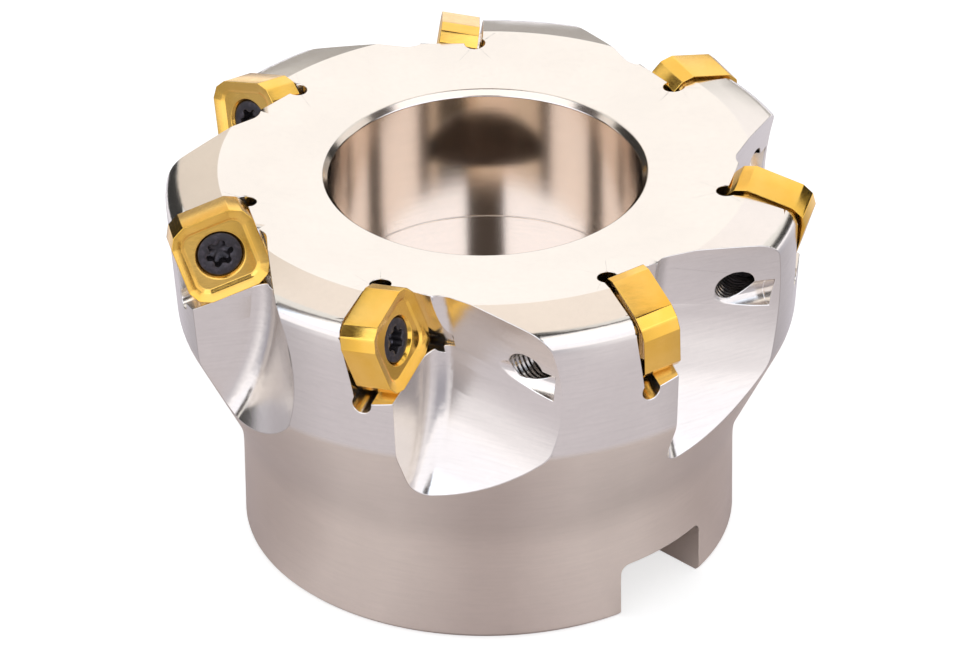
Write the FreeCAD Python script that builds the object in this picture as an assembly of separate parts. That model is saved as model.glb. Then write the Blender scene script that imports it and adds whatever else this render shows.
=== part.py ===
import FreeCAD, Part
import math
import os

# A high feed face milling cutter that is mounted on an arbor and carries seven screwed-in inserts.
# The spin axis is +Z. The origin is the centre of the hub face, which sits against the arbor, so the
# cutting face looks up. Seen from above, the cutter turns anticlockwise.
# One body is turned, then milled: a chip gullet and a seat for each insert, two drive keyways across
# the hub face, a tapped hole behind each insert that opens into the next gullet.
# Each insert is a double-sided square with faceted corners and flat sunk faces, held by one screw.

# Driving dimensions, in millimetres and degrees

# Overall
CUTTER_DIAMETER = 80.0  # over the outermost corners of the inserts
CUTTER_HEIGHT = 50.0  # from the hub face to the highest corner of the inserts

# Body
FACE_STANDOFF = 2.2  # the highest corner of the inserts stands this far above the counterbore's rim
RIM_STANDOFF = 1.3  # and the outermost corner this far outside the rim
FACE_DISH = 0.85  # the dished ring rises by this much from the counterbore out to the sloping ring
SLOPE_WIDTH = 6.5  # sloping ring between the dished ring and the rim
FACE_SLOPE = 13.5  # its fall
RIM_RADIUS = 2.4  # rounding between the sloping ring and the side wall
SIDE_TAPER = 1.2  # the side wall runs in by this much, from the rim down to the waist
WAIST_HEIGHT = 29.9  # where the side wall meets the flare
WAIST_RADIUS = 5.0
HUB_DIAMETER = 60.0
HUB_HEIGHT = 14.8  # where the flare would meet the hub
HUB_BLEND_RADIUS = 18.0
HUB_CHAMFER = 0.6

# Bores along the spin axis
COUNTERBORE_DIAMETER = 37.9  # takes the head of the central arbor screw
COUNTERBORE_CHAMFER = 0.7
ARBOR_SCREW_HOLE_DIAMETER = 14.0  # clears the central screw
ARBOR_BORE_DIAMETER = 27.0
ARBOR_BORE_DEPTH = 22.0
ARBOR_BORE_CHAMFER = 0.8
WEB_THICKNESS = 8.0  # between the arbor bore and the counterbore

# Drive keyways across the hub face
KEYWAY_WIDTH = 13.6
KEYWAY_DEPTH = 7.1
KEYWAY_CORNER_RADIUS = 1.2
KEYWAY_AZIMUTH = -45.0

# Inserts: the pitch is uneven, which breaks up chatter. The last step closes the circle.
FIRST_INSERT_AZIMUTH = 146.35
PITCH_STEPS = (48.5, 53.6, 51.2, 48.5, 53.6, 50.3)  # clockwise from one insert to the next
INSERT_WIDTH = 10.4  # across opposite edges
INSERT_THICKNESS = 4.76
INSERT_EDGE = 6.0  # straight length of a main edge
INSERT_CORNER_WIDTH = 12.58  # across the middle vertices of opposite corners
INSERT_RIM_WIDTH = 1.1  # chip groove: the rim slopes inwards
INSERT_RIM_FALL = 0.28
INSERT_STEP_WIDTH = 0.35  # then a steeper step down to the flat floor
INSERT_STEP_FALL = 0.24
INSERT_HOLE_DIAMETER = 4.4
INSERT_HOLE_MOUTH_DIAMETER = 6.1
COUNTERSINK_ANGLE = 60.0  # included angle of the hole's mouth and the screw head

# How an insert lies in the body
LEAD_ANGLE = 17.6  # fall of the main cutting edge towards the outside
AXIAL_TILT = 9.4  # the rake face leans up by this much
RADIAL_TILT = 10.8  # and turns outwards by this much

# Seat
SEAT_GAP = 0.4  # between the insert's back rim and the pocket floor
SEAT_PAD_MARGIN = 0.5  # between the pad and the step of the insert's back face
SEAT_FRONT_CLEARANCE = 3.0  # how far the pocket's cut runs ahead of the insert
RELIEF_RADIUS = 1.2  # grooves that clear the insert's corners
RELIEF_OFFSET = 0.8  # their axes lie this far ahead of the pocket floor
CORNER_HOLE_LEAD = 1.6  # the hole at the seat's inner corner ends this far ahead of the insert

# Insert screw
THREAD_DIAMETER = 4.0
THREAD_CLEARANCE = 0.05
SCREW_HEAD_DIAMETER = 5.4
SCREW_HEAD_RIM = 0.3
SCREW_LENGTH = 11.0
SOCKET_DIAMETER = 3.35  # across the outer lobes
SOCKET_WAIST = 2.4  # across the inner lobes
SOCKET_LOBE_WIDTH = 0.62  # across the blunt end of a lobe
SOCKET_DEPTH = 1.5
SOCKET_LOBES = 6
TAPPED_HOLE_LENGTH = 20.0  # measured from the pocket floor, into the gullet behind

# Gullet: a large cylindrical scoop that starts at a flat wall under the insert
GULLET_SCOOP_RADIUS = 30.0
GULLET_DEPTH = 12.5  # from the cutting diameter in to the scoop's deepest line
GULLET_FLOOR_DROP = 10.3  # from the highest corner of the inserts down to that line
GULLET_SWING = 12.7  # the scoop runs outwards away from the insert
GULLET_DIP = 14.0  # and downwards
GULLET_WALL_LEAD = 0.9  # the flat wall lies this far ahead of the cutting corner's radius
GULLET_WALL_TURN = 10.8  # the flat wall turns outwards like the rake face
GULLET_FILLET_RADIUS = 2.7
GULLET_LENGTH = 42.0

# Scooped run-out where the tapped hole opens into the gullet
RUNOUT_RADIUS = 1.85
RUNOUT_DEPTH = 7.85  # from the cutting diameter in to its axis
RUNOUT_LEAD = 10.8  # from the cutting corner's radius to its start
RUNOUT_DROP = 9.2  # from the highest corner of the inserts down to its start
RUNOUT_LENGTH = 8.6
RUNOUT_DIP = 8.2

# Worked out from the sizes above
FACE_HEIGHT = CUTTER_HEIGHT - FACE_STANDOFF
COUNTERBORE_FLOOR_HEIGHT = ARBOR_BORE_DEPTH + WEB_THICKNESS
FLOOR_DEPTH = INSERT_RIM_FALL + INSERT_STEP_FALL  # of the insert's sunk faces
COUNTERSINK_SLOPE = math.tan(math.radians(COUNTERSINK_ANGLE / 2))

X = FreeCAD.Vector(1, 0, 0)
Y = FreeCAD.Vector(0, 1, 0)
Z = FreeCAD.Vector(0, 0, 1)
ORIGIN = FreeCAD.Vector(0, 0, 0)


def azimuths():
    """Angle of each insert's cutting corner round the spin axis."""
    angles = [FIRST_INSERT_AZIMUTH]
    for step in PITCH_STEPS:
        angles.append(angles[-1] - step)
    return angles


def rounded_wire(corners):
    """Closed wire through the corners (point, radius), with a tangent arc at each radius above zero."""
    points = [point for point, radius in corners]
    edges = []
    previous_end = None
    first_start = None
    count = len(corners)
    for index in range(count):
        point, radius = corners[index]
        before = (points[index - 1] - point).normalize()
        after = (points[(index + 1) % count] - point).normalize()
        start = end = point
        if radius > 0:
            half = before.getAngle(after) / 2
            setback = radius / math.tan(half)
            start = point + before * setback
            end = point + after * setback
            centre = point + (before + after).normalize() * (radius / math.sin(half))
            middle = centre + (point - centre).normalize() * radius
        if previous_end is not None:
            edges.append(Part.LineSegment(previous_end, start).toShape())
        else:
            first_start = start
        if radius > 0:
            edges.append(Part.Arc(start, middle, end).toShape())
        previous_end = end
    edges.append(Part.LineSegment(previous_end, first_start).toShape())
    return Part.Wire(edges)


def turned(corners):
    """Solid of revolution about Z from (radius, height, rounding) corners."""
    wire = rounded_wire([(FreeCAD.Vector(r, 0, z), rounding) for r, z, rounding in corners])
    return Part.Face(wire).revolve(ORIGIN, Z, 360)


def cylinder(start, direction, radius, length):
    return Part.makeCylinder(radius, length, start, direction)


# Body blank, turned on a lathe


def body_blank():
    bore = ARBOR_BORE_DIAMETER / 2
    hole = ARBOR_SCREW_HOLE_DIAMETER / 2
    pocket = COUNTERBORE_DIAMETER / 2
    hub = HUB_DIAMETER / 2
    rim = CUTTER_DIAMETER / 2 - RIM_STANDOFF
    crest = FACE_HEIGHT + FACE_DISH
    rim_height = crest - SLOPE_WIDTH * math.tan(math.radians(FACE_SLOPE))
    return turned([
        (bore + ARBOR_BORE_CHAMFER, 0, 0),
        (hub - HUB_CHAMFER, 0, 0),
        (hub, HUB_CHAMFER, 0),
        (hub, HUB_HEIGHT, HUB_BLEND_RADIUS),
        (rim - SIDE_TAPER, WAIST_HEIGHT, WAIST_RADIUS),
        (rim, rim_height, RIM_RADIUS),
        (rim - SLOPE_WIDTH, crest, 0),
        (pocket + COUNTERBORE_CHAMFER, FACE_HEIGHT, 0),
        (pocket, FACE_HEIGHT - COUNTERBORE_CHAMFER, 0),
        (pocket, COUNTERBORE_FLOOR_HEIGHT, 0),
        (hole, COUNTERBORE_FLOOR_HEIGHT, 0),
        (hole, ARBOR_BORE_DEPTH, 0),
        (bore, ARBOR_BORE_DEPTH, 0),
        (bore, ARBOR_BORE_CHAMFER, 0),
    ])


def keyway_cut():
    """Straight slot across the whole hub face, with rounded upper corners."""
    half = KEYWAY_WIDTH / 2
    reach = HUB_DIAMETER
    corners = [
        (FreeCAD.Vector(-reach, -half, -KEYWAY_DEPTH), 0),
        (FreeCAD.Vector(-reach, half, -KEYWAY_DEPTH), 0),
        (FreeCAD.Vector(-reach, half, KEYWAY_DEPTH), KEYWAY_CORNER_RADIUS),
        (FreeCAD.Vector(-reach, -half, KEYWAY_DEPTH), KEYWAY_CORNER_RADIUS),
    ]
    slot = Part.Face(rounded_wire(corners)).extrude(X * (2 * reach))
    slot.rotate(ORIGIN, Z, KEYWAY_AZIMUTH)
    return slot


# Insert, drawn with its front face in the XZ plane: X outwards, Z up, its thickness towards -Y


def insert_corners(inset, depth):
    """Twelve corners: four main edges with two facets at each corner, moved inwards by inset."""
    half = INSERT_WIDTH / 2
    edge = INSERT_EDGE / 2
    middle = INSERT_CORNER_WIDTH / 2 / math.sqrt(2)
    quarter = [(half, edge), (middle, middle), (edge, half)]
    points = []
    for turn in range(4):
        for x, z in quarter:
            points.append(FreeCAD.Vector(x, -depth, z))
        quarter = [(-z, x) for x, z in quarter]
    moved = []
    for index, here in enumerate(points):
        first = (here - points[index - 1]).normalize()
        second = (points[(index + 1) % len(points)] - here).normalize()
        half_angle = first.getAngle(second) / 2
        inward = (second - first).normalize()
        moved.append(here + inward * (inset / math.cos(half_angle)))
    return moved


def flat_face(points):
    return Part.Face(Part.makePolygon(points + points[:1]))


def insert_outline(inset, depth):
    return flat_face(insert_corners(inset, depth))


def flat_sided(inset, depth, next_inset, next_depth):
    """Solid between two outlines of the insert at different insets and depths."""
    near = insert_corners(inset, depth)
    far = insert_corners(next_inset, next_depth)
    faces = [flat_face(near), flat_face(far)]
    for index in range(len(near)):
        following = (index + 1) % len(near)
        faces.append(flat_face([near[index], near[following], far[following], far[index]]))
    solid = Part.Solid(Part.Shell(faces))
    if solid.Volume < 0:
        solid.reverse()
    return solid


def sunk_face():
    """Tool that sinks the front face: a sloping rim, then a step down to the flat floor."""
    floor_inset = INSERT_RIM_WIDTH + INSERT_STEP_WIDTH
    rim = flat_sided(0, 0, INSERT_RIM_WIDTH, INSERT_RIM_FALL)
    step = flat_sided(INSERT_RIM_WIDTH, INSERT_RIM_FALL, floor_inset, FLOOR_DEPTH)
    return rim.fuse(step)


def insert_hole():
    """Through hole with a countersink from both floors, as a solid about Y."""
    mouth = INSERT_HOLE_MOUTH_DIAMETER / 2
    through = INSERT_HOLE_DIAMETER / 2
    depth = (mouth - through) / COUNTERSINK_SLOPE
    low = -(INSERT_THICKNESS - FLOOR_DEPTH)
    high = -FLOOR_DEPTH
    corners = [
        (0, low - FLOOR_DEPTH, 0),
        (mouth, low - FLOOR_DEPTH, 0),
        (mouth, low, 0),
        (through, low + depth, 0),
        (through, high - depth, 0),
        (mouth, high, 0),
        (mouth, high + FLOOR_DEPTH, 0),
        (0, high + FLOOR_DEPTH, 0),
    ]
    hole = turned(corners)
    hole.rotate(ORIGIN, X, -90)
    return hole


def insert_shape():
    blank = insert_outline(0, 0).extrude(-Y * INSERT_THICKNESS)
    front = sunk_face()
    back = front.copy()
    back.rotate(ORIGIN, Z, 180)
    back.translate(-Y * INSERT_THICKNESS)
    return blank.cut([front, back, insert_hole()])


# Insert screw, about the same axis as the insert's hole


def socket_wire(depth):
    """Six-lobed outline with straight flanks and blunt lobes."""
    outer = SOCKET_DIAMETER / 2
    inner = SOCKET_WAIST / 2
    half_step = math.pi / SOCKET_LOBES
    blunt = math.asin(SOCKET_LOBE_WIDTH / 2 / outer)
    points = []
    for index in range(SOCKET_LOBES):
        middle = 2 * half_step * index
        for radius, angle in [(outer, middle - blunt), (outer, middle + blunt), (inner, middle + half_step)]:
            points.append(FreeCAD.Vector(radius * math.cos(angle), depth, radius * math.sin(angle)))
    points.append(points[0])
    return Part.makePolygon(points)


def screw_shape():
    head = SCREW_HEAD_DIAMETER / 2
    shank = THREAD_DIAMETER / 2 - THREAD_CLEARANCE
    mouth = INSERT_HOLE_MOUTH_DIAMETER / 2
    seat = -FLOOR_DEPTH - (mouth - head) / COUNTERSINK_SLOPE
    neck = seat - (head - shank) / COUNTERSINK_SLOPE
    top = seat + SCREW_HEAD_RIM
    tip = top - SCREW_LENGTH
    screw = turned([
        (0, top, 0),
        (head, top, 0),
        (head, seat, 0),
        (shank, neck, 0),
        (shank, tip, 0),
        (0, tip, 0),
    ])
    screw.rotate(ORIGIN, X, -90)
    socket = Part.Face(socket_wire(top)).extrude(-Y * SOCKET_DEPTH)
    return screw.cut(socket)


# Where an insert lies: the same turn and shift for the insert, its screw and its seat


def insert_placement():
    lead = FreeCAD.Rotation(Y, LEAD_ANGLE)
    axial = FreeCAD.Rotation(X, AXIAL_TILT)
    radial = FreeCAD.Rotation(Z, -RADIAL_TILT)
    turn = radial.multiply(axial).multiply(lead)
    half = INSERT_WIDTH / 2
    edge = INSERT_EDGE / 2
    cutting_corner = turn.multVec(FreeCAD.Vector(half, 0, edge))
    highest_corner = turn.multVec(FreeCAD.Vector(-edge, 0, half))
    shift = FreeCAD.Vector(
        CUTTER_DIAMETER / 2 - cutting_corner.x,
        -cutting_corner.y,
        CUTTER_HEIGHT - highest_corner.z,
    )
    return FreeCAD.Placement(shift, turn)


def placed(shape, azimuth):
    """Copy of a shape drawn in the insert's frame, put in place at the given azimuth."""
    result = shape.copy()
    result.Placement = insert_placement().multiply(result.Placement)
    result.rotate(ORIGIN, Z, azimuth)
    return result


# Cuts round one insert, drawn in the insert's frame


def seat_cuts():
    half = INSERT_WIDTH / 2
    floor = -INSERT_THICKNESS - SEAT_GAP
    reach = 2 * INSERT_WIDTH
    pocket = Part.makeBox(
        reach, SEAT_FRONT_CLEARANCE - floor, reach, FreeCAD.Vector(-half, floor, -half))
    pad_inset = INSERT_RIM_WIDTH + INSERT_STEP_WIDTH + SEAT_PAD_MARGIN
    pad_height = SEAT_GAP + FLOOR_DEPTH
    pad = insert_outline(pad_inset, -floor).extrude(Y * pad_height)
    groove = floor + RELIEF_OFFSET
    inner_groove = cylinder(FreeCAD.Vector(-half, groove, -half), Z, RELIEF_RADIUS, reach)
    lower_groove = cylinder(FreeCAD.Vector(-half, groove, -half), X, RELIEF_RADIUS, reach)
    corner_hole = cylinder(
        FreeCAD.Vector(-half, floor, -half), Y, RELIEF_RADIUS, CORNER_HOLE_LEAD - floor)
    tapped_hole = cylinder(ORIGIN, -Y, THREAD_DIAMETER / 2, TAPPED_HOLE_LENGTH - floor)
    return [pocket.cut(pad), inner_groove, lower_groove, corner_hole, tapped_hole]


# Cuts ahead of one insert, drawn with the cutting corner on the XZ plane


def gullet_cut():
    swing = math.radians(GULLET_SWING)
    dip = math.radians(GULLET_DIP)
    direction = FreeCAD.Vector(
        math.sin(swing) * math.cos(dip),
        math.cos(swing) * math.cos(dip),
        -math.sin(dip),
    )
    floor_radius = CUTTER_DIAMETER / 2 - GULLET_DEPTH
    centre = FreeCAD.Vector(
        floor_radius + GULLET_SCOOP_RADIUS / math.cos(swing), 0, CUTTER_HEIGHT - GULLET_FLOOR_DROP)
    start = centre - direction * GULLET_LENGTH
    scoop = cylinder(start, direction, GULLET_SCOOP_RADIUS, 2 * GULLET_LENGTH)
    behind = Part.makeBox(
        4 * GULLET_LENGTH, 2 * GULLET_LENGTH, 4 * GULLET_LENGTH,
        FreeCAD.Vector(-2 * GULLET_LENGTH, -2 * GULLET_LENGTH, -2 * GULLET_LENGTH))
    behind.rotate(ORIGIN, Z, -GULLET_WALL_TURN)
    behind.translate(FreeCAD.Vector(CUTTER_DIAMETER / 2, GULLET_WALL_LEAD, 0))
    scoop = scoop.cut(behind)
    wall_normal = FreeCAD.Rotation(Z, -GULLET_WALL_TURN).multVec(Y)
    rim = [
        edge for edge in scoop.Edges
        if abs((edge.CenterOfMass - FreeCAD.Vector(CUTTER_DIAMETER / 2, GULLET_WALL_LEAD, 0))
               .dot(wall_normal)) < 0.01
    ]
    return scoop.makeFillet(GULLET_FILLET_RADIUS, rim)


def runout_cut():
    dip = math.radians(RUNOUT_DIP)
    direction = FreeCAD.Vector(0, math.cos(dip), -math.sin(dip))
    start = FreeCAD.Vector(
        CUTTER_DIAMETER / 2 - RUNOUT_DEPTH, RUNOUT_LEAD, CUTTER_HEIGHT - RUNOUT_DROP)
    return cylinder(start, direction, RUNOUT_RADIUS, RUNOUT_LENGTH)


# Build


def cutter_body():
    body = body_blank().cut(keyway_cut())
    gullet = gullet_cut()
    runout = runout_cut()
    seat = seat_cuts()
    for azimuth in azimuths():
        tools = []
        for tool in [gullet, runout]:
            turned_tool = tool.copy()
            turned_tool.rotate(ORIGIN, Z, azimuth)
            tools.append(turned_tool)
        for tool in seat:
            tools.append(placed(tool, azimuth))
        body = body.cut(tools)
    return body


def export(shape, name):
    shape = shape.removeSplitter()
    print(name, "valid", shape.isValid(), "solids", len(shape.Solids), "volume", round(shape.Volume, 1))
    shape.exportStep("parts/" + name + ".step")


os.makedirs("parts", exist_ok=True)
export(cutter_body(), "cutter_body")
insert = insert_shape()
screw = screw_shape()
for number, azimuth in enumerate(azimuths(), start=1):
    export(placed(insert, azimuth), "insert_%d" % number)
    export(placed(screw, azimuth), "insert_screw_%d" % number)
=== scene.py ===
import math

import bmesh
import bpy
import numpy as np
from mathutils import Matrix, Vector


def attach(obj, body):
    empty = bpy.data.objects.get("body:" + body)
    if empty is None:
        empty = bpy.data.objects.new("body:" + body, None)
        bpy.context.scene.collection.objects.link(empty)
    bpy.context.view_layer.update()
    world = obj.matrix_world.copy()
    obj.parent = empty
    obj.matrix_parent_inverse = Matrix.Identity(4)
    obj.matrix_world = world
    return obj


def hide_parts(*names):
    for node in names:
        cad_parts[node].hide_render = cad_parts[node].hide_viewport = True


bl_info = {
    "name": "High feed milling cutter",
    "version": (1, 0, 0),
    "blender": (4, 5, 0),
    "location": "View3D > Sidebar > Cutter",
    "description": "Dresses the milling cutter: plated body, gold inserts, black screws, threads and studio",
    "category": "Object",
}

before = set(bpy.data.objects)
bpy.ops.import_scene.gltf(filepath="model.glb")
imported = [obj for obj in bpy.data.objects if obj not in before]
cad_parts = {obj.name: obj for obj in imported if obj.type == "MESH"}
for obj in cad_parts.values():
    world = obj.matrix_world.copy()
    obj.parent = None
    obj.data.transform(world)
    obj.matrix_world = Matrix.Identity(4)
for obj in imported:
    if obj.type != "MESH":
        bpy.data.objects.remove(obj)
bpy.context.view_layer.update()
BODY = "root"
MM = 0.001

# The flare between hub and waist, by height, and the tapped holes behind the seats
FLARE_FOOT, WAIST = 14.8 * MM, 29.9 * MM
TAPPED_RADIUS = 2.0 * MM
TAPPED_START = 5.2 * MM  # below the insert's front face
TAPPED_PITCH = 0.7 * MM
COUNTERSINK_SLOPE = math.tan(math.radians(30))  # radius over depth, in inserts and screw heads

# Where the seats lie, as in the solids: angles in degrees, seen from above
FIRST_AZIMUTH = 146.35
PITCH_STEPS = (48.5, 53.6, 51.2, 48.5, 53.6, 50.3)
LEAD_ANGLE = 17.6
AXIAL_TILT = 9.4
RADIAL_TILT = 10.8

# The photograph's view: the camera in metres, its turns in degrees
CAMERA_ELEVATION = 31.86
CAMERA_DISTANCE = 0.9875
CAMERA_TARGET = (0.000374, 0.0, 0.02558)
CAMERA_ROLL = -0.71
CAMERA_LENS = 297.6
SENSOR_WIDTH = 36.0


# Properties that a user would change


class CutterSizes(bpy.types.PropertyGroup):
    cutter_diameter: bpy.props.FloatProperty(
        name="Cutting diameter", description="Over the outermost corners of the inserts",
        default=80 * MM, unit="LENGTH")
    cutter_height: bpy.props.FloatProperty(
        name="Height", description="From the hub face to the highest corner of the inserts",
        default=50 * MM, unit="LENGTH")
    edge_softness: bpy.props.FloatProperty(
        name="Edge softness", description="Radius at which the body's edges catch the light",
        default=0.12 * MM, unit="LENGTH")


class InsertSizes(bpy.types.PropertyGroup):
    width: bpy.props.FloatProperty(
        name="Width", description="Across opposite main edges", default=10.4 * MM, unit="LENGTH")
    thickness: bpy.props.FloatProperty(
        name="Thickness", description="From rim to rim", default=4.76 * MM, unit="LENGTH")
    main_edge: bpy.props.FloatProperty(
        name="Main edge", description="Straight length of a main edge", default=6.0 * MM, unit="LENGTH")
    corner_width: bpy.props.FloatProperty(
        name="Corner width", description="Across the middles of opposite corners",
        default=12.58 * MM, unit="LENGTH")
    corner_radius: bpy.props.FloatProperty(
        name="Corner radius", description="Rounding of the upright edges", default=0.5 * MM, unit="LENGTH")
    rim_width: bpy.props.FloatProperty(
        name="Rim width", description="The rim slopes inwards over this width",
        default=1.1 * MM, unit="LENGTH")
    rim_fall: bpy.props.FloatProperty(
        name="Rim fall", description="Fall of the sloping rim", default=0.28 * MM, unit="LENGTH")
    step_width: bpy.props.FloatProperty(
        name="Step width", description="Width of the step inside the rim", default=0.35 * MM, unit="LENGTH")
    step_fall: bpy.props.FloatProperty(
        name="Step fall", description="Fall of that step", default=0.24 * MM, unit="LENGTH")
    hole_radius: bpy.props.FloatProperty(
        name="Hole radius", description="Of the hole for the screw", default=2.2 * MM, unit="LENGTH")
    mouth_radius: bpy.props.FloatProperty(
        name="Mouth radius", description="Of the countersink at the floor",
        default=3.05 * MM, unit="LENGTH")


class ScrewSizes(bpy.types.PropertyGroup):
    head_radius: bpy.props.FloatProperty(
        name="Head radius", description="Of the countersunk head", default=2.7 * MM, unit="LENGTH")
    head_rim: bpy.props.FloatProperty(
        name="Head rim", description="Straight rim above the taper", default=0.3 * MM, unit="LENGTH")
    crest_radius: bpy.props.FloatProperty(
        name="Crest radius", description="Of the thread", default=1.95 * MM, unit="LENGTH")
    thread_depth: bpy.props.FloatProperty(
        name="Thread depth", description="From crest to root", default=0.38 * MM, unit="LENGTH")
    pitch: bpy.props.FloatProperty(
        name="Pitch", description="Of the thread", default=0.7 * MM, unit="LENGTH")
    length: bpy.props.FloatProperty(
        name="Length", description="From the top of the head to the tip", default=11.0 * MM, unit="LENGTH")
    socket_radius: bpy.props.FloatProperty(
        name="Socket radius", description="Mean radius of the six-lobed socket",
        default=1.44 * MM, unit="LENGTH")
    socket_wave: bpy.props.FloatProperty(
        name="Socket wave", description="How far the lobes stand in and out",
        default=0.235 * MM, unit="LENGTH")
    socket_depth: bpy.props.FloatProperty(
        name="Socket depth", description="Depth of the socket", default=1.5 * MM, unit="LENGTH")


class CutterColours(bpy.types.PropertyGroup):
    nickel: bpy.props.FloatVectorProperty(
        name="Nickel plating", description="Colour of the plated body", subtype="COLOR", size=3,
        min=0, max=1, default=(0.83, 0.775, 0.71))
    # The counterbore's warmer colour is a painted tint standing in for light bounced round the bore
    bore: bpy.props.FloatVectorProperty(
        name="Counterbore", description="Warmer colour of the bored and plated inside",
        subtype="COLOR", size=3, min=0, max=1, default=(0.84, 0.735, 0.64))
    gold: bpy.props.FloatVectorProperty(
        name="Gold coating", description="Colour of the inserts", subtype="COLOR", size=3,
        min=0, max=1, default=(1.0, 0.58, 0.09))
    black: bpy.props.FloatVectorProperty(
        name="Black oxide", description="Colour of the screws", subtype="COLOR", size=3,
        min=0, max=1, default=(0.055, 0.05, 0.055))
    background: bpy.props.FloatVectorProperty(
        name="Background", description="Colour of floor and backdrop", subtype="COLOR", size=3,
        min=0, max=1, default=(1.0, 1.0, 1.0))


# Node helpers


def new_material(name):
    material = bpy.data.materials.new(name)
    material.use_nodes = True
    material.node_tree.nodes.clear()
    return material, material.node_tree


def connect(tree, socket, value):
    """A socket takes a number, a colour or another node's output."""
    if isinstance(value, bpy.types.NodeSocket):
        tree.links.new(value, socket)
    else:
        socket.default_value = value


def add(tree, kind, inputs=None, **settings):
    """New node with its settings, and with its inputs by name or number."""
    node = tree.nodes.new(kind)
    for key, value in settings.items():
        setattr(node, key, value)
    for key, value in (inputs or {}).items():
        connect(tree, node.inputs[key], value)
    return node


def colour4(colour, share=1.0):
    """Opaque colour with all channels times a share."""
    return tuple(channel * share for channel in colour) + (1.0,)


def tinted(colour, tint):
    """Opaque colour with each channel times the tint's."""
    return tuple(channel * share for channel, share in zip(colour, tint)) + (1.0,)


def noise(tree, vector, scale, detail, roughness):
    return add(tree, "ShaderNodeTexNoise", {
        "Vector": vector, "Scale": scale, "Detail": detail, "Roughness": roughness}).outputs["Fac"]


def mapped(tree, value, span, result=(0.0, 1.0)):
    """Value carried straight from one span to the other, and held beyond its ends."""
    return add(tree, "ShaderNodeMapRange", {
        "Value": value, "From Min": span[0], "From Max": span[1], "To Min": result[0], "To Max": result[1],
    }).outputs["Result"]


def maths(tree, operation, first, second=0.0):
    return add(tree, "ShaderNodeMath", {0: first, 1: second}, operation=operation).outputs[0]


def vector_maths(tree, operation, *vectors):
    return add(tree, "ShaderNodeVectorMath", dict(enumerate(vectors)), operation=operation).outputs


def mixed_colour(tree, share, first, second):
    """First colour at a share of 0, second at 1."""
    node = add(tree, "ShaderNodeMix", {"Factor": share}, data_type="RGBA")
    connect(tree, node.inputs[6], first)
    connect(tree, node.inputs[7], second)
    return node.outputs[2]


def bumped(tree, height, strength, distance, below=None):
    """Normal of a bump of that height, laid over another bump's normal if one is given."""
    inputs = {"Strength": strength, "Distance": distance, "Height": height}
    if below is not None:
        inputs["Normal"] = below
    return add(tree, "ShaderNodeBump", inputs).outputs[0]


def metal_surface(tree, inputs):
    shader = add(tree, "ShaderNodeBsdfPrincipled", inputs)
    add(tree, "ShaderNodeOutputMaterial", {"Surface": shader.outputs[0]})


# Materials

# Noise in the finishes: features a metre, octaves and roughness. For streaks and grinding lines the place is
# stretched first.
PLATING_CLOUDS = (85.0, 4.0, 0.55)
PLATING_GRAIN = (5200.0, 2.0, 0.6)
PLATING_SPECKS = (1500.0, 4.0, 0.65)
TURNING_RINGS = (5200.0, 2.0, 0.5)
STREAKS, STREAK_STRETCH = (1.0, 4.0, 0.6), (200.0, 200.0, 3600.0)
COATING_CLOUDS = (160.0, 3.0, 0.5)
COATING_GRAIN = (4200.0, 2.0, 0.5)
GRINDING_LINES, GRINDING_STRETCH = (1.0, 2.0, 0.5), (900.0, 900.0, 5200.0)
OXIDE_PATCHES = (1600.0, 4.0, 0.6)
OXIDE_GRAIN = (5200.0, 2.0, 0.5)

# Spans of the noise's value: the wide one takes in nearly all of it, the narrow one makes it more distinct
WIDE, NARROW = (0.3, 0.7), (0.35, 0.65)

# The plated body: radii in metres between which the bore's smoother finish and painted warm tint give way
# to the satin one, and rises of the normal between which a surface comes to count as upright, or as facing
# down
BORE_BORDER = (0.0194, 0.0197)
BORE_ROUGHNESS = 0.13
UPRIGHT_RISE = (0.75, 0.55)
# Painted shade on the flare lies where the normal faces down, between these rises, and ends over a blend
# above the waist; the shares below are its darkness at the foot and at the waist
DOWNWARD_RISE = (-0.12, -0.34)
WAIST_BLEND = 0.6 * MM
PAINTED_FLARE_SHADES = (0.13, 0.05)  # at its foot and at the waist
# Painted shade in the tapped holes: its share in the thread's groove and near its crest
THREAD_PAINTED_SHADES = (0.58, 0.38)  # in the groove and near the crest

# Lighter variants of the gold and of the worn black
GOLD_TINT = (1.0, 1.08, 1.7)
WORN_TINT = (1.9, 1.8, 1.9)


def painted_flare_shade(tree, rise, height):
    """Painted shade on the flare: most at its foot, and only where it faces down."""
    downwards = mapped(tree, rise, DOWNWARD_RISE)
    below_waist = mapped(tree, height, (WAIST, WAIST + WAIST_BLEND), (1.0, 0.0))
    amount = mapped(tree, height, (FLARE_FOOT, WAIST), PAINTED_FLARE_SHADES)
    return maths(tree, "MULTIPLY", maths(tree, "MULTIPLY", downwards, below_waist), amount)


def tapped_thread(tree):
    """Painted shade and bump height of the thread in the tapped holes, from the attributes that the body
    carries.

    The phase is the depth over the pitch less the angle round the hole over a full turn, and the height is
    a triangle wave of it. Outside the holes both are zero.
    """
    spot = add(tree, "ShaderNodeAttribute", attribute_name="tapping_place").outputs["Vector"]
    inside = add(tree, "ShaderNodeAttribute", attribute_name="tapping").outputs["Fac"]
    axes = add(tree, "ShaderNodeSeparateXYZ", {0: spot}).outputs
    angle = maths(tree, "ARCTAN2", axes[2], axes[0])
    phase = maths(tree, "SUBTRACT", maths(tree, "DIVIDE", axes[1], TAPPED_PITCH),
                  maths(tree, "DIVIDE", angle, 2 * math.pi))
    wave = maths(tree, "MULTIPLY", maths(tree, "PINGPONG", phase, 0.5), 2.0)
    shade = maths(tree, "MULTIPLY", mapped(tree, wave, (0.0, 0.7), THREAD_PAINTED_SHADES), inside)
    return shade, maths(tree, "MULTIPLY", wave, inside)


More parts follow.
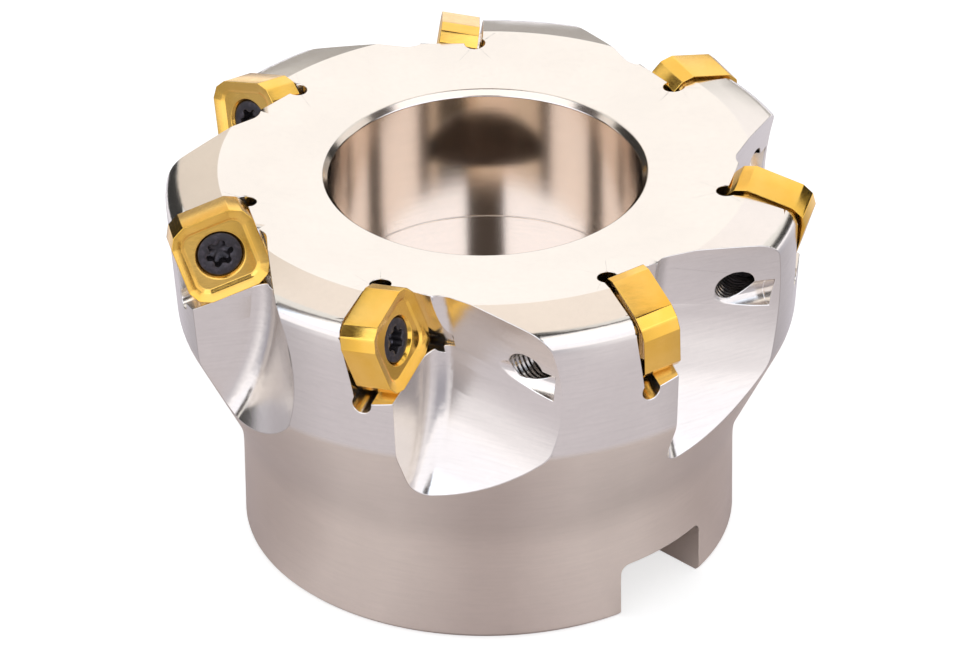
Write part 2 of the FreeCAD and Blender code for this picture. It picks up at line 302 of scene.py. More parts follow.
def nickel_material(colours):
    """Satin nickel: cloudy tone, level streaks, turning rings about the spin axis and a sand-like grain.

    The tangent runs round the spin axis, so reflections are drawn out across the turning marks. Inside the
    counterbore the finish is smoother, and its warmer tone is a painted tint of the light bounced round the
    bore. Shade is painted on the flare where it faces down, and in the tapped threads. Streaks lie on
    upright surfaces alone.
    """
    material, tree = new_material("satin_nickel_plating")
    coordinates = add(tree, "ShaderNodeTexCoord").outputs
    place = coordinates["Object"]
    axes = add(tree, "ShaderNodeSeparateXYZ", {0: place}).outputs
    rise = add(tree, "ShaderNodeSeparateXYZ", {0: coordinates["Normal"]}).outputs[2]
    flat_place = add(tree, "ShaderNodeCombineXYZ", {0: axes[0], 1: axes[1], 2: 0.0}).outputs[0]
    radius = vector_maths(tree, "LENGTH", flat_place)["Value"]
    outside = mapped(tree, radius, BORE_BORDER)
    upright = mapped(tree, maths(tree, "ABSOLUTE", rise), UPRIGHT_RISE)
    cloud = noise(tree, place, *PLATING_CLOUDS)
    streak_place = add(tree, "ShaderNodeMapping", {"Vector": place, "Scale": STREAK_STRETCH}).outputs[0]
    streaks = noise(tree, streak_place, *STREAKS)
    # thread is the painted shade in the tapped holes, thread_height the thread's bump
    thread, thread_height = tapped_thread(tree)

    plated = mixed_colour(tree, mapped(tree, cloud, NARROW),
                          colour4(colours.nickel, 0.97), colour4(colours.nickel, 1.02))
    # Inside the counterbore the tone is the warmer one: a painted tint of light bounced round the bore
    tone = mixed_colour(tree, outside, colour4(colours.bore), plated)
    # Specks and streaks in the plating, painted shade on the flare and painted shade in the thread: how much
    # of each lies over the tone, and its shade of the nickel
    layers = (
        (mapped(tree, noise(tree, place, *PLATING_SPECKS), (0.38, 0.62), (0.0, 0.12)), 0.85),
        (maths(tree, "MULTIPLY", mapped(tree, streaks, (0.4, 0.75), (0.0, 0.11)), upright), 0.6),
        (painted_flare_shade(tree, rise, axes[2]), 0.05),
        # the thread's share is painted shade in the tapped holes
        (thread, 0.06),
    )
    for share, shade in layers:
        tone = mixed_colour(tree, share, tone, colour4(colours.nickel, shade))

    streak_change = maths(tree, "MULTIPLY", mapped(tree, streaks, WIDE, (-0.018, 0.018)), upright)
    satin = maths(tree, "ADD", mapped(tree, cloud, WIDE, (0.17, 0.21)), streak_change)
    roughness = add(tree, "ShaderNodeMix", {0: outside, 2: BORE_ROUGHNESS, 3: satin}).outputs[0]

    ring_place = add(tree, "ShaderNodeCombineXYZ", {0: radius, 1: axes[2], 2: 0.0}).outputs[0]
    normal = bumped(tree, thread_height, 1.0, 0.05 * MM)
    normal = bumped(tree, noise(tree, ring_place, *TURNING_RINGS), 0.14, 0.01 * MM, normal)
    normal = bumped(tree, noise(tree, place, *PLATING_GRAIN), 0.16, 0.012 * MM, normal)
    around = vector_maths(tree, "CROSS_PRODUCT", (0.0, 0.0, 1.0), flat_place)[0]
    tangent = vector_maths(tree, "NORMALIZE", around)[0]
    metal_surface(tree, {"Base Color": tone, "Metallic": 1.0, "Roughness": roughness, "Normal": normal,
                         "Anisotropic": 0.5, "Tangent": tangent})
    return material


def gold_material(colours):
    """Gold coloured hard coating on ground carbide: smooth, with fine grinding grain and a cloudy tint."""
    material, tree = new_material("gold_hard_coating")
    place = add(tree, "ShaderNodeTexCoord").outputs["Object"]
    cloud = noise(tree, place, *COATING_CLOUDS)
    ground_place = add(tree, "ShaderNodeMapping", {"Vector": place, "Scale": GRINDING_STRETCH}).outputs[0]
    ground = noise(tree, ground_place, *GRINDING_LINES)
    tone = mixed_colour(tree, mapped(tree, cloud, NARROW),
                        colour4(colours.gold, 0.94), tinted(colours.gold, GOLD_TINT))
    roughness = maths(tree, "ADD", mapped(tree, cloud, WIDE, (0.15, 0.20)),
                      mapped(tree, ground, WIDE, (-0.03, 0.03)))
    normal = bumped(tree, ground, 0.08, 0.008 * MM)
    normal = bumped(tree, noise(tree, place, *COATING_GRAIN), 0.14, 0.01 * MM, normal)
    metal_surface(tree, {"Base Color": tone, "Metallic": 1.0, "Roughness": roughness, "Normal": normal})
    return material


def black_material(colours):
    """Black oxide on a turned and cold-headed screw, slightly oiled and worn lighter in patches."""
    material, tree = new_material("black_oxide_steel")
    place = add(tree, "ShaderNodeTexCoord").outputs["Object"]
    patches = noise(tree, place, *OXIDE_PATCHES)
    tone = mixed_colour(tree, mapped(tree, patches, (0.48, 0.72)),
                        colour4(colours.black), tinted(colours.black, WORN_TINT))
    roughness = mapped(tree, patches, WIDE, (0.42, 0.30))
    normal = bumped(tree, noise(tree, place, *OXIDE_GRAIN), 0.3, 0.015 * MM)
    metal_surface(tree, {"Base Color": tone, "Metallic": 0.75, "Roughness": roughness, "Normal": normal})
    return material


# Geometry shared by the pieces


def linked_object(name, data):
    """Object for a mesh or a camera, in the scene's collection."""
    thing = bpy.data.objects.new(name, data)
    bpy.context.scene.collection.objects.link(thing)
    return thing


def azimuths():
    """Angle of each insert's cutting corner round the spin axis, in radians."""
    steps = np.concatenate([[0.0], np.cumsum(PITCH_STEPS)])
    return np.radians(FIRST_AZIMUTH - steps)


def turn_about(axis, degrees):
    return np.array(Matrix.Rotation(math.radians(degrees), 3, axis))


def seat_placement(azimuth, cutter, sizes):
    """Turn and shift from the insert's own frame to the cutter: X outwards, Z up, thickness along -Y.

    The insert is turned by its lead angle, tilted, and shifted until its cutting corner lies on the cutting
    diameter and its highest corner at the cutter's height. Then everything is turned to the azimuth.
    """
    turn = turn_about("Z", -RADIAL_TILT) @ turn_about("X", AXIAL_TILT) @ turn_about("Y", LEAD_ANGLE)
    half, edge = sizes.width / 2, sizes.main_edge / 2
    cutting_corner = turn @ np.array([half, 0.0, edge])
    highest_corner = turn @ np.array([-edge, 0.0, half])
    shift = np.array([
        cutter.cutter_diameter / 2 - cutting_corner[0],
        -cutting_corner[1],
        cutter.cutter_height - highest_corner[2],
    ])
    swing = turn_about("Z", math.degrees(azimuth))
    return swing @ turn, swing @ shift


def grid_piece(name, points, close_rows=False):
    """Smooth object from a grid of points (rows, columns, 3), closed round its columns and maybe its rows.

    Each four neighbours make a face. Rows that are not closed end in poles: the first and last rows are
    then fans to their mean points. The faces are turned outwards.
    """
    rows, columns = points.shape[:2]
    vertices = points.reshape(-1, 3)
    index = np.arange(rows * columns).reshape(rows, columns)
    if close_rows:
        here, after = index, np.roll(index, -1, axis=0)
    else:
        here, after = index[:-1], index[1:]
    quads = np.stack([here, np.roll(here, -1, axis=1), np.roll(after, -1, axis=1), after], axis=-1)
    faces = quads.reshape(-1, 4).tolist()
    if not close_rows:
        poles = np.stack([points[0].mean(axis=0), points[-1].mean(axis=0)])
        vertices = np.concatenate([vertices, poles])
        first_pole = np.full(columns, rows * columns)
        first = np.stack([first_pole, np.roll(index[0], -1), index[0]], axis=-1)
        last = np.stack([first_pole + 1, index[-1], np.roll(index[-1], -1)], axis=-1)
        faces += first.tolist() + last.tolist()
    mesh = bpy.data.meshes.new(name)
    mesh.from_pydata(vertices, [], faces)
    work = bmesh.new()
    work.from_mesh(mesh)
    bmesh.ops.recalc_face_normals(work, faces=work.faces)
    work.to_mesh(mesh)
    work.free()
    mesh.shade_smooth()
    return linked_object(name, mesh)


def rounded_stations(corners, radii, steps):
    """Path of (radial, depth) stations through corners, rounded at each inner one.

    A rounding starts and ends at its radius from the corner, and is (1 - s)^2 start + 2 s (1 - s) corner
    + s^2 end, with s from 0 to 1.
    """
    path = [np.array(corners[0])[None]]
    for before, here, after, radius in zip(corners, corners[1:], corners[2:], radii):
        before, here, after = (np.array(point, float) for point in (before, here, after))
        arrive = (here - before) / np.linalg.norm(here - before)
        leave = (after - here) / np.linalg.norm(after - here)
        share = np.linspace(0.0, 1.0, steps)[:, None]
        start, end = here - arrive * radius, here + leave * radius
        path.append((1 - share) ** 2 * start + 2 * share * (1 - share) * here + share ** 2 * end)
    path.append(np.array(corners[-1])[None])
    return np.concatenate(path)


# Body


class CUTTER_OT_body(bpy.types.Operator):
    """Plated body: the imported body's own surface, joined up, with every sharp edge rounded over"""
    bl_idname = "cutter.body"
    bl_label = "Plated body"
    MERGE_DISTANCE = 1e-7
    CREASE_ANGLE = math.radians(6)
    SEGMENTS = 2
    WALL_TOLERANCE = 0.02 * MM
    NO_LENGTH = 1e-6
    TINY = 1e-12

    def joined_mesh(self, source):
        """The node's triangles with their doubles merged, each corner's own normal kept in a layer.

        Before the merge only the borders of the solid's faces are open edges, so those are marked first.
        """
        mesh = source.copy()
        normals = np.empty(3 * len(mesh.loops), np.float32)
        mesh.corner_normals.foreach_get("vector", normals)
        mesh.attributes.new("face_normal", "FLOAT_VECTOR", "CORNER").data.foreach_set("vector", normals)
        work = bmesh.new()
        work.from_mesh(mesh)
        for edge in work.edges:
            edge.smooth = not edge.is_boundary
        bmesh.ops.remove_doubles(work, verts=work.verts, dist=self.MERGE_DISTANCE)
        return mesh, work

    def creases(self, work):
        """Borders across which the solid's normals turn by more than the crease angle."""
        layer = work.loops.layers.float_vector["face_normal"]
        found = []
        for edge in work.edges:
            if edge.smooth or len(edge.link_faces) != 2:
                continue
            turns = []
            for vertex in edge.verts:
                sides = [loop[layer] for loop in vertex.link_loops if loop.face in edge.link_faces]
                turns.append(sides[0].angle(sides[1], 0.0))
            if max(turns) > self.CREASE_ANGLE:
                found.append(edge)
        return found

    def mark_tapped_holes(self, mesh, scene):
        """Attributes for the thread's bump and painted shade: 1 on the tapped holes' walls, and each point's
        place in its hole.

        A point is on such a wall if, in its insert's own frame, it lies at the hole's radius from the Y
        axis and behind the seat.
        """
        places = np.empty(3 * len(mesh.vertices), np.float32)
        mesh.vertices.foreach_get("co", places)
        places = places.reshape(-1, 3)
        inside = np.zeros(len(places), np.float32)
        spots = np.zeros((len(places), 3), np.float32)
        for azimuth in azimuths():
            turn, shift = seat_placement(azimuth, scene.cutter_sizes, scene.insert_sizes)
            local = (places - shift) @ turn
            distance = np.hypot(local[:, 0], local[:, 2])
            found = (np.abs(distance - TAPPED_RADIUS) < self.WALL_TOLERANCE) & (local[:, 1] < -TAPPED_START)
            inside[found] = 1.0
            spots[found] = local[found]
        mesh.attributes.new("tapping", "FLOAT", "POINT").data.foreach_set("value", inside)
        place_attribute = mesh.attributes.new("tapping_place", "FLOAT_VECTOR", "POINT")
        place_attribute.data.foreach_set("vector", spots.ravel())

    def kept_normals(self, work, flank):
        """Normal of each vertex: the sum of its corners' kept normals outside the rounded flank, made unit.

        A vertex with none takes the mean of its flank faces' normals, weighted by area.
        """
        layer = work.loops.layers.float_vector["face_normal"]
        normals = np.zeros((len(work.verts), 3))
        backup = np.zeros((len(work.verts), 3))
        for face in work.faces:
            area = face.calc_area()
            for loop in face.loops:
                if face.index in flank:
                    backup[loop.vert.index] += face.normal * area
                else:
                    normals[loop.vert.index] += loop[layer]
        bare = np.linalg.norm(normals, axis=1) < self.NO_LENGTH
        normals[bare] = backup[bare]
        return normals / np.maximum(np.linalg.norm(normals, axis=1), self.TINY)[:, None]

    def execute(self, context):
        mesh, work = self.joined_mesh(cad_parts["cutter_body"].data)
        rounded = bmesh.ops.bevel(
            work, geom=self.creases(work), offset=context.scene.cutter_sizes.edge_softness,
            offset_type="OFFSET", segments=self.SEGMENTS, profile=0.5, affect="EDGES", clamp_overlap=False,
            loop_slide=True)
        work.verts.index_update()
        work.faces.index_update()
        normals = self.kept_normals(work, {face.index for face in rounded["faces"]})
        for edge in work.edges:
            edge.smooth = True
        work.to_mesh(mesh)
        work.free()
        mesh.name = "plated_body"
        mesh.attributes.remove(mesh.attributes["face_normal"])
        mesh.shade_smooth()
        mesh.normals_split_custom_set_from_vertices(normals)
        self.mark_tapped_holes(mesh, context.scene)
        mesh.materials.clear()
        mesh.materials.append(nickel_material(context.scene.cutter_colours))
        piece = linked_object("plated_body", mesh)
        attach(piece, BODY)
        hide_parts("cutter_body")
        return {"FINISHED"}


# Inserts


def insert_outline(sizes, inset, radius, arc_steps, line_steps):
    """Twelve-sided outline moved inwards by inset, with an arc at each corner, as (points, 2).

    A quarter has a main edge's end, the corner's middle and the next main edge's start. Turned four times
    it gives the twelve corners. Each corner moves inwards along the bisector of its two edges' normals. A
    point of its arc is the centre plus the radius times (cos a normal + sin a direction) of the edge that
    arrives, with a from 0 to the angle between the two normals. Straight lines join the arcs.
    """
    half, edge = sizes.width / 2, sizes.main_edge / 2
    middle = sizes.corner_width / 2 / math.sqrt(2)
    quarter = np.array([(half, edge), (middle, middle), (edge, half)])
    turns = np.radians([0, 90, 180, 270])
    first_row = np.stack([np.cos(turns), -np.sin(turns)], -1)
    second_row = np.stack([np.sin(turns), np.cos(turns)], -1)
    corners = np.einsum("kij,mj->kmi", np.stack([first_row, second_row], 1), quarter).reshape(-1, 2)
    arrive = corners - np.roll(corners, 1, axis=0)
    arrive /= np.linalg.norm(arrive, axis=1)[:, None]
    leave = np.roll(arrive, -1, axis=0)
    normal_in = np.stack([arrive[:, 1], -arrive[:, 0]], -1)
    normal_out = np.stack([leave[:, 1], -leave[:, 0]], -1)
    cosine = np.sum(normal_in * normal_out, axis=1)
    bisector = (normal_in + normal_out) / (1 + cosine)[:, None]
    centres = corners - bisector * (inset + radius)
    angle = np.arccos(cosine)[:, None] * np.linspace(0.0, 1.0, arc_steps)
    arcs = centres[:, None] + radius * (
        np.cos(angle)[..., None] * normal_in[:, None] + np.sin(angle)[..., None] * arrive[:, None])
    share = np.linspace(0.0, 1.0, line_steps + 2)[1:-1][:, None]
    starts, ends = arcs[:, -1], np.roll(arcs[:, 0], -1, axis=0)
    lines = starts[:, None] * (1 - share) + ends[:, None] * share
    return np.concatenate([arcs, lines], axis=1).reshape(-1, 2)


class CUTTER_OT_inserts(bpy.types.Operator):
    """Double-sided square inserts with faceted corners, sunk faces and honed edges"""
    bl_idname = "cutter.inserts"
    bl_label = "Inserts"
    ARC_STEPS = 6
    LINE_STEPS = 6
    CREASE_STEPS = 4
    HONE = 0.09 * MM
    SOFT = 0.08 * MM
    FLOOR_LAND = 0.2 * MM  # flat of the floor inside its border, and round the hole's mouth
    ROUNDER_INSIDE = 0.4  # the outline's corners grow rounder by this share of the inset

    def outline(self, sizes, inset):
        radius = sizes.corner_radius + self.ROUNDER_INSIDE * inset
        return insert_outline(sizes, inset, radius, self.ARC_STEPS, self.LINE_STEPS)

    def surface(self, sizes):
        """Closed ring surface: the outline is carried along a path of inset and depth.

        The path runs from the front hole over the floor, step, rim and side, and back the same way behind.
        In the hole and round its mouth each point of the outline is moved to the path's radius.
        """
        floor_inset = sizes.rim_width + sizes.step_width
        floor_depth = sizes.rim_fall + sizes.step_fall
        taper = (sizes.mouth_radius - sizes.hole_radius) / COUNTERSINK_SLOPE
        middle = sizes.thickness / 2
        outside = rounded_stations(
            [(floor_inset + self.FLOOR_LAND, floor_depth), (floor_inset, floor_depth),
             (sizes.rim_width, sizes.rim_fall), (0.0, 0.0), (0.0, middle)],
            [self.SOFT, self.SOFT, self.HONE], self.CREASE_STEPS)
        inside = rounded_stations(
            [(sizes.mouth_radius + self.FLOOR_LAND, floor_depth), (sizes.mouth_radius, floor_depth),
             (sizes.hole_radius, floor_depth + taper), (sizes.hole_radius, middle)],
            [self.SOFT, self.SOFT], self.CREASE_STEPS)
        floor_outline = self.outline(sizes, floor_inset)
        circle = floor_outline / np.linalg.norm(floor_outline, axis=1)[:, None]
        rows = [(radius * circle, depth) for radius, depth in inside[::-1]]
        rows += [(self.outline(sizes, inset), depth) for inset, depth in outside]
        front = np.stack([np.stack([flat[:, 0], np.full(len(flat), -depth), flat[:, 1]], -1)
                          for flat, depth in rows])
        back = front[-2:0:-1].copy()
        back[..., 1] = -sizes.thickness - back[..., 1]
        return np.concatenate([front, back])

    def execute(self, context):
        scene = context.scene
        surface = self.surface(scene.insert_sizes)
        material = gold_material(scene.cutter_colours)
        for number, azimuth in enumerate(azimuths(), start=1):
            turn, shift = seat_placement(azimuth, scene.cutter_sizes, scene.insert_sizes)
            piece = grid_piece("gold_insert_%d" % number, surface @ turn.T + shift, close_rows=True)
            piece.data.materials.append(material)
            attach(piece, BODY)
            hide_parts("insert_%d" % number)
        return {"FINISHED"}


# Screws


class CUTTER_OT_screws(bpy.types.Operator):
    """Countersunk screws with a six-lobed socket and a threaded shank"""
    bl_idname = "cutter.screws"
    bl_label = "Insert screws"
    COLUMNS = 96
    CREASE_STEPS = 4
    STEPS_PER_PITCH = 8
    SOFT = 0.1 * MM
    LOBES = 6
    LOBE_FLATNESS = 1.5
    # Rows of the socket: share of the lobed radius and height over its floor, then gain and depth at its top
    SOCKET_FLOOR = ((0.35, -0.15 * MM), (0.9, 0.0), (1.0, 0.15 * MM))
    SOCKET_MOUTH = ((0.0, 0.14 * MM), (0.05 * MM, 0.04 * MM), (0.12 * MM, 0.0))
    SOCKET_LAND = 0.6 * MM
    HEAD_EDGE = 0.14 * MM
    TIP_LENGTH, TIP_TAPER = 0.5 * MM, 0.4 * MM

    def surface(self, insert, screw):
        """Surface of revolution about Y: socket floor, lobed wall, head, taper, threaded shank and tip.

        The socket's radius is a mean plus a flattened cosine, tanh(f cos 6a) / tanh f, of the angle a. The
        thread's radius falls from crest to root as a triangle wave of depth over pitch less angle over a
        full turn. The wave grows over the first pitch and dies out over the last half, and the tip tapers.
        """
        floor_depth = insert.rim_fall + insert.step_fall
        seat = floor_depth + (insert.mouth_radius - screw.head_radius) / COUNTERSINK_SLOPE
        top = seat - screw.head_rim
        neck = seat + (screw.head_radius - screw.crest_radius) / COUNTERSINK_SLOPE
        tip = top + screw.length
        floor = top + screw.socket_depth
        angle = np.linspace(0.0, 2 * math.pi, self.COLUMNS, endpoint=False)
        lobes = np.tanh(self.LOBE_FLATNESS * np.cos(self.LOBES * angle)) / math.tanh(self.LOBE_FLATNESS)
        lobed = screw.socket_radius + screw.socket_wave * lobes
        rows = [(lobed * share, floor - height) for share, height in self.SOCKET_FLOOR]
        rows += [(lobed + gain, top + depth) for gain, depth in self.SOCKET_MOUTH]
        head = rounded_stations(
            [(screw.socket_radius + self.SOCKET_LAND, top), (screw.head_radius, top),
             (screw.head_radius, seat), (screw.crest_radius, neck)],
            [self.HEAD_EDGE, self.SOFT], self.CREASE_STEPS)
        rows += [(np.full(self.COLUMNS, radius), depth) for radius, depth in head]
        count = int((tip - neck) / screw.pitch * self.STEPS_PER_PITCH)
        for depth in np.linspace(neck, tip, count)[1:]:
            phase = (depth / screw.pitch - angle / (2 * math.pi)) % 1.0
            wave = np.abs(2 * phase - 1)
            fade = np.clip(min(depth - neck, (tip - depth) * 2) / screw.pitch, 0.0, 1.0)
            point = np.clip((depth - (tip - self.TIP_LENGTH)) / self.TIP_LENGTH, 0.0, 1.0) * self.TIP_TAPER
            rows.append((screw.crest_radius - screw.thread_depth * wave * fade - point, depth))
        return np.stack([np.stack([radius * np.cos(angle), np.full(self.COLUMNS, -depth),
                                   radius * np.sin(angle)], -1) for radius, depth in rows])

    def execute(self, context):
        scene = context.scene
        surface = self.surface(scene.insert_sizes, scene.screw_sizes)
        material = black_material(scene.cutter_colours)
        for number, azimuth in enumerate(azimuths(), start=1):
            turn, shift = seat_placement(azimuth, scene.cutter_sizes, scene.insert_sizes)
            piece = grid_piece("black_screw_%d" % number, surface @ turn.T + shift)
            piece.data.materials.append(material)
            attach(piece, BODY)
            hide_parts("insert_screw_%d" % number)
        return {"FINISHED"}


# Stage


class CUTTER_OT_stage(bpy.types.Operator):
    """White floor and backdrop, soft studio lamps and the camera at the photograph's view"""
    bl_idname = "cutter.stage"
    bl_label = "Stage"
    FLOOR_SIZE = 6.0
    FLOOR_GLOW = 0.66
    FLOOR_GREY = (0.62, 0.62, 0.62, 1.0)
    ROOM_LIGHT = 0.8
    CLIP_START, CLIP_END = 0.05, 20.0

    # The floor in reflections, with painted light and shade: tones where it is painted dim and where painted
    # lit, distances from the spin axis between which one zone gives way to the next, and sines of the
    # azimuth between which the painted light changes
    NEAR_TONES = ((0.71, 0.62, 0.62, 1.0), (0.95, 0.86, 0.86, 1.0))
    MIDDLE_TONES = ((0.46, 0.44, 0.48, 1.0), (0.70, 0.67, 0.74, 1.0))
    FAR_TONES = ((0.42, 0.42, 0.50, 1.0), (1.05, 1.04, 1.12, 1.0))
    RIM_TONE = (1.3, 1.3, 1.4, 1.0)
    NEAR_BORDER, MIDDLE_BORDER, FAR_BORDER = (0.047, 0.062), (0.085, 0.13), (0.24, 0.34)
    NEAR_LIT, FAR_LIT, BESIDE = (0.08, 0.5), (0.22, 0.64), (0.76, 0.98)

    # Cards: name, azimuth from the front towards the right, elevation and tone. Those of SIDE_CARDS stand
    # on both sides.
    DOME_RADIUS = 1.5
    CARD_STEPS = 24
    CARDS = (
        ("dark_ceiling", (-90.0, 90.0), (69.0, 90.0), (0.03, 0.03, 0.03)),
        ("dark_front_ceiling", (-29.0, 29.0), (64.5, 69.0), (0.03, 0.03, 0.03)),
        ("dark_back_ceiling", (90.0, 270.0), (77.5, 90.0), (0.03, 0.03, 0.03)),
        ("front_low", (-14.0, 14.0), (0.2, 20.0), (1.27, 1.29, 1.43)),
        ("front_gap", (-14.0, 14.0), (20.0, 54.0), (0.06, 0.05, 0.045)),
        ("front_high", (-14.0, 14.0), (54.0, 64.5), (1.45, 1.45, 1.50)),
        ("back_softbox", (166.0, 190.0), (16.0, 48.0), (1.24, 1.22, 1.22)),
        ("back_softbox_top", (138.0, 215.0), (48.0, 77.5), (1.10, 1.01, 0.94)),
        ("back_softbox_left", (190.0, 206.0), (16.0, 48.0), (0.92, 0.83, 0.74)),
        ("back_softbox_right", (138.0, 166.0), (16.0, 48.0), (1.20, 1.17, 1.20)),
        ("back_horizon", (138.0, 206.0), (0.2, 12.0), (0.42, 0.40, 0.38)),
        ("back_left_flag", (206.0, 250.0), (0.2, 36.0), (0.045, 0.045, 0.045)),
        ("back_right_flag", (110.0, 138.0), (0.2, 22.0), (0.02, 0.02, 0.02)),
    )
    SIDE_CARDS = (
        ("gap", (80.0, 98.0), (0.5, 69.0), (0.10, 0.09, 0.09)),
        ("softbox_low", (14.0, 80.0), (0.2, 20.0), (1.27, 1.29, 1.43)),
        ("softbox_middle", (14.0, 80.0), (20.0, 46.0), (1.48, 1.66, 2.00)),
        ("softbox_high", (29.0, 80.0), (46.0, 69.0), (1.45, 1.45, 1.50)),
        ("softbox_inner_high", (14.0, 29.0), (46.0, 64.5), (1.45, 1.45, 1.50)),
    )
    NEAR_FLAG_RADIUS = 0.17
    NEAR_FLAG = ("near_left_flag", (211.0, 250.0), (0.0, 22.0), (0.045, 0.045, 0.045))

    def floor(self, colours):
        mesh = bpy.data.meshes.new("floor")
        half = self.FLOOR_SIZE / 2
        corners = [(-half, -half, 0), (half, -half, 0), (half, half, 0), (-half, half, 0)]
        mesh.from_pydata(corners, [], [(0, 1, 2, 3)])
        material, tree = new_material("pale_floor")
        seen = add(tree, "ShaderNodeLightPath").outputs["Is Camera Ray"]
        white = add(tree, "ShaderNodeEmission", {
            "Color": colour4(colours.background), "Strength": self.FLOOR_GLOW}).outputs[0]
        shadowed = add(tree, "ShaderNodeBsdfDiffuse", {"Color": self.FLOOR_GREY}).outputs[0]
        lit = add(tree, "ShaderNodeAddShader", {0: white, 1: shadowed}).outputs[0]
        mix = add(tree, "ShaderNodeMixShader", {0: seen, 1: self.mirrored_floor(tree), 2: lit})
        add(tree, "ShaderNodeOutputMaterial", {"Surface": mix.outputs[0]})
        mesh.materials.append(material)
        linked_object("floor", mesh)

    def mirrored_floor(self, tree):
        """The floor as the cutter mirrors it, with painted light and shade: matt near the hub in painted dim
        and lit tones, and further out a painted glow, as if lit by the softboxes, made as an emission.

        It is painted dimmest straight in front and beside the cutter. The sine of the azimuth gives that,
        and the distance from the spin axis leads from the near tone over the middle and the far one to the
        rim's.
        """
        place = add(tree, "ShaderNodeTexCoord").outputs["Object"]
        distance = vector_maths(tree, "LENGTH", place)["Value"]
        across = maths(tree, "ABSOLUTE", add(tree, "ShaderNodeSeparateXYZ", {0: place}).outputs[0])
        sine = maths(tree, "DIVIDE", across, distance)
        beside = mapped(tree, sine, self.BESIDE, (1.0, 0.0))
        near_lit = maths(tree, "MULTIPLY", mapped(tree, sine, self.NEAR_LIT), beside)
        far_lit = maths(tree, "MULTIPLY", mapped(tree, sine, self.FAR_LIT), beside)
        near = mixed_colour(tree, near_lit, *self.NEAR_TONES)
        middle = mixed_colour(tree, beside, *self.MIDDLE_TONES)
        far = mixed_colour(tree, far_lit, *self.FAR_TONES)
        glow = mixed_colour(tree, mapped(tree, distance, self.MIDDLE_BORDER), middle, far)
        glow = mixed_colour(tree, mapped(tree, distance, self.FAR_BORDER), glow, self.RIM_TONE)
        matt = add(tree, "ShaderNodeBsdfDiffuse", {"Color": near}).outputs[0]
        glowing = add(tree, "ShaderNodeEmission", {"Color": glow, "Strength": 1.0}).outputs[0]
        outwards = mapped(tree, distance, self.NEAR_BORDER)
        return add(tree, "ShaderNodeMixShader", {0: outwards, 1: matt, 2: glowing}).outputs[0]

    def world(self, colours):
        """White to the camera and in reflections. It lights matt surfaces a little less brightly."""
        world = bpy.data.worlds.new("studio")
        bpy.context.scene.world = world
        world.use_nodes = True
        tree = world.node_tree
        tree.nodes.clear()
        path = add(tree, "ShaderNodeLightPath").outputs
        shown = maths(tree, "MAXIMUM", path["Is Camera Ray"],
                      maths(tree, "MAXIMUM", path["Is Glossy Ray"], path["Is Transmission Ray"]))
        room = add(tree, "ShaderNodeBackground", {
            "Color": (1.0, 1.0, 1.0, 1.0), "Strength": self.ROOM_LIGHT}).outputs[0]
        white = add(tree, "ShaderNodeBackground", {
            "Color": colour4(colours.background), "Strength": 1.0}).outputs[0]
        mix = add(tree, "ShaderNodeMixShader", {0: shown, 1: room, 2: white})
        add(tree, "ShaderNodeOutputWorld", {"Surface": mix.outputs[0]})

    def card(self, name, azimuth, elevation, tone, radius):
        """Card on a dome round the object that only reflections see, with a tone and edges in degrees.

        A point lies at the dome's radius times (sin a cos e, -cos a cos e, sin e), with a the azimuth from
        the front towards the right and e the elevation.
        """
        steps = self.CARD_STEPS
        across = np.radians(np.linspace(azimuth[0], azimuth[1], steps))
        upward = np.radians(np.linspace(elevation[0], elevation[1], steps))
        around, rise = np.meshgrid(across, upward)
        points = radius * np.stack([
            np.sin(around) * np.cos(rise), -np.cos(around) * np.cos(rise), np.sin(rise)], -1)
        index = np.arange(steps * steps).reshape(steps, steps)
        quads = np.stack([index[:-1, :-1], index[:-1, 1:], index[1:, 1:], index[1:, :-1]], -1)
        mesh = bpy.data.meshes.new(name)
        mesh.from_pydata(points.reshape(-1, 3), [], quads.reshape(-1, 4).tolist())
        material, tree = new_material(name)
        glow = add(tree, "ShaderNodeEmission", {"Color": colour4(tone), "Strength": 1.0})
        add(tree, "ShaderNodeOutputMaterial", {"Surface": glow.outputs[0]})
        mesh.materials.append(material)
        card = linked_object(name, mesh)
        card.visible_camera = card.visible_diffuse = card.visible_shadow = card.visible_transmission = False

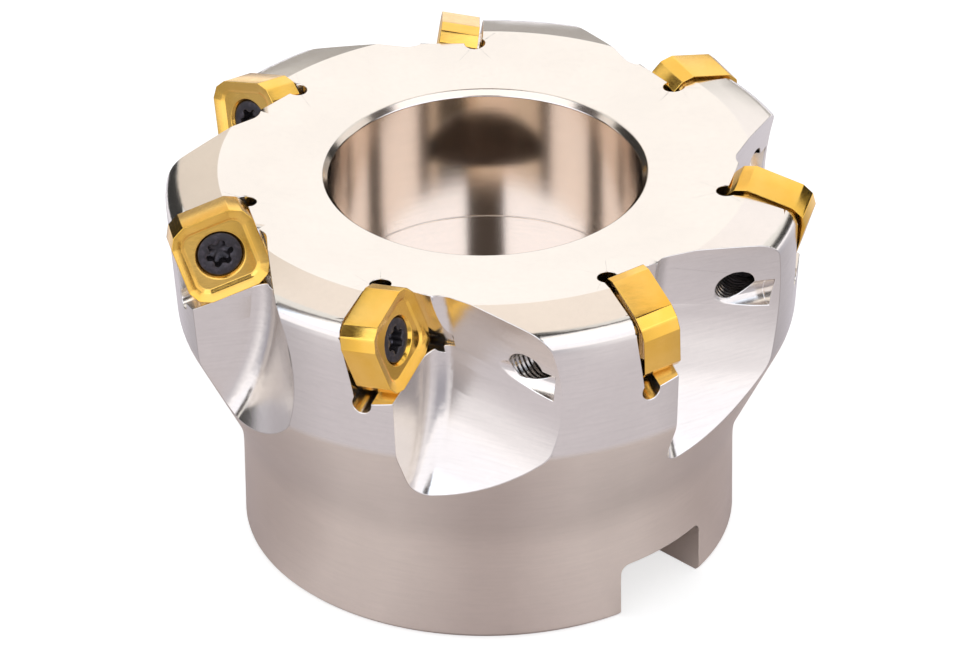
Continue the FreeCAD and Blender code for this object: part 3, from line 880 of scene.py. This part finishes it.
    def camera(self):
        """Camera on the sight line given by the elevation and distance, rolled about that line."""
        elevation, roll = math.radians(CAMERA_ELEVATION), math.radians(CAMERA_ROLL)
        back = Vector((0.0, -math.cos(elevation), math.sin(elevation)))
        right = Vector((1.0, 0.0, 0.0))
        up = back.cross(right)
        across = right * math.cos(roll) + up * math.sin(roll)
        upright = up * math.cos(roll) - right * math.sin(roll)
        data = bpy.data.cameras.new("photo_view")
        data.sensor_fit = "HORIZONTAL"
        data.sensor_width = SENSOR_WIDTH
        data.lens = CAMERA_LENS
        data.clip_start, data.clip_end = self.CLIP_START, self.CLIP_END
        camera = linked_object("photo_view", data)
        place = Vector(CAMERA_TARGET) + back * CAMERA_DISTANCE
        turn = Matrix((across, upright, back)).transposed().to_4x4()
        camera.matrix_world = Matrix.Translation(place) @ turn
        bpy.context.scene.camera = camera

    def execute(self, context):
        colours = context.scene.cutter_colours
        self.floor(colours)
        self.world(colours)
        for card in self.CARDS:
            self.card(*card, self.DOME_RADIUS)
        for name, (first, last), elevation, tone in self.SIDE_CARDS:
            self.card("right_" + name, (first, last), elevation, tone, self.DOME_RADIUS)
            self.card("left_" + name, (-last, -first), elevation, tone, self.DOME_RADIUS)
        self.card(*self.NEAR_FLAG, self.NEAR_FLAG_RADIUS)
        self.camera()
        context.scene.view_settings.view_transform = "Standard"
        return {"FINISHED"}


# Panel and registration


class CUTTER_PT_panel(bpy.types.Panel):
    bl_label = "Milling cutter"
    bl_idname = "CUTTER_PT_panel"
    bl_space_type = "VIEW_3D"
    bl_region_type = "UI"
    bl_category = "Cutter"

    def draw(self, context):
        for group in PROPERTIES:
            box = self.layout.box()
            holder = getattr(context.scene, group)
            for key in holder.bl_rna.properties.keys():
                if key not in ("rna_type", "name"):
                    box.prop(holder, key)
        for operator in OPERATORS:
            self.layout.operator(operator.bl_idname)


PROPERTIES = {
    "cutter_sizes": CutterSizes,
    "insert_sizes": InsertSizes,
    "screw_sizes": ScrewSizes,
    "cutter_colours": CutterColours,
}
OPERATORS = (CUTTER_OT_body, CUTTER_OT_inserts, CUTTER_OT_screws, CUTTER_OT_stage)


def register():
    for name, group in PROPERTIES.items():
        bpy.utils.register_class(group)
        setattr(bpy.types.Scene, name, bpy.props.PointerProperty(type=group))
    for kind in OPERATORS + (CUTTER_PT_panel,):
        bpy.utils.register_class(kind)


def unregister():
    for kind in (CUTTER_PT_panel,) + OPERATORS[::-1]:
        bpy.utils.unregister_class(kind)
    for name, group in PROPERTIES.items():
        delattr(bpy.types.Scene, name)
        bpy.utils.unregister_class(group)


def main():
    register()
    bpy.ops.cutter.body()
    bpy.ops.cutter.inserts()
    bpy.ops.cutter.screws()
    bpy.ops.cutter.stage()


if __name__ == "__main__":
    main()
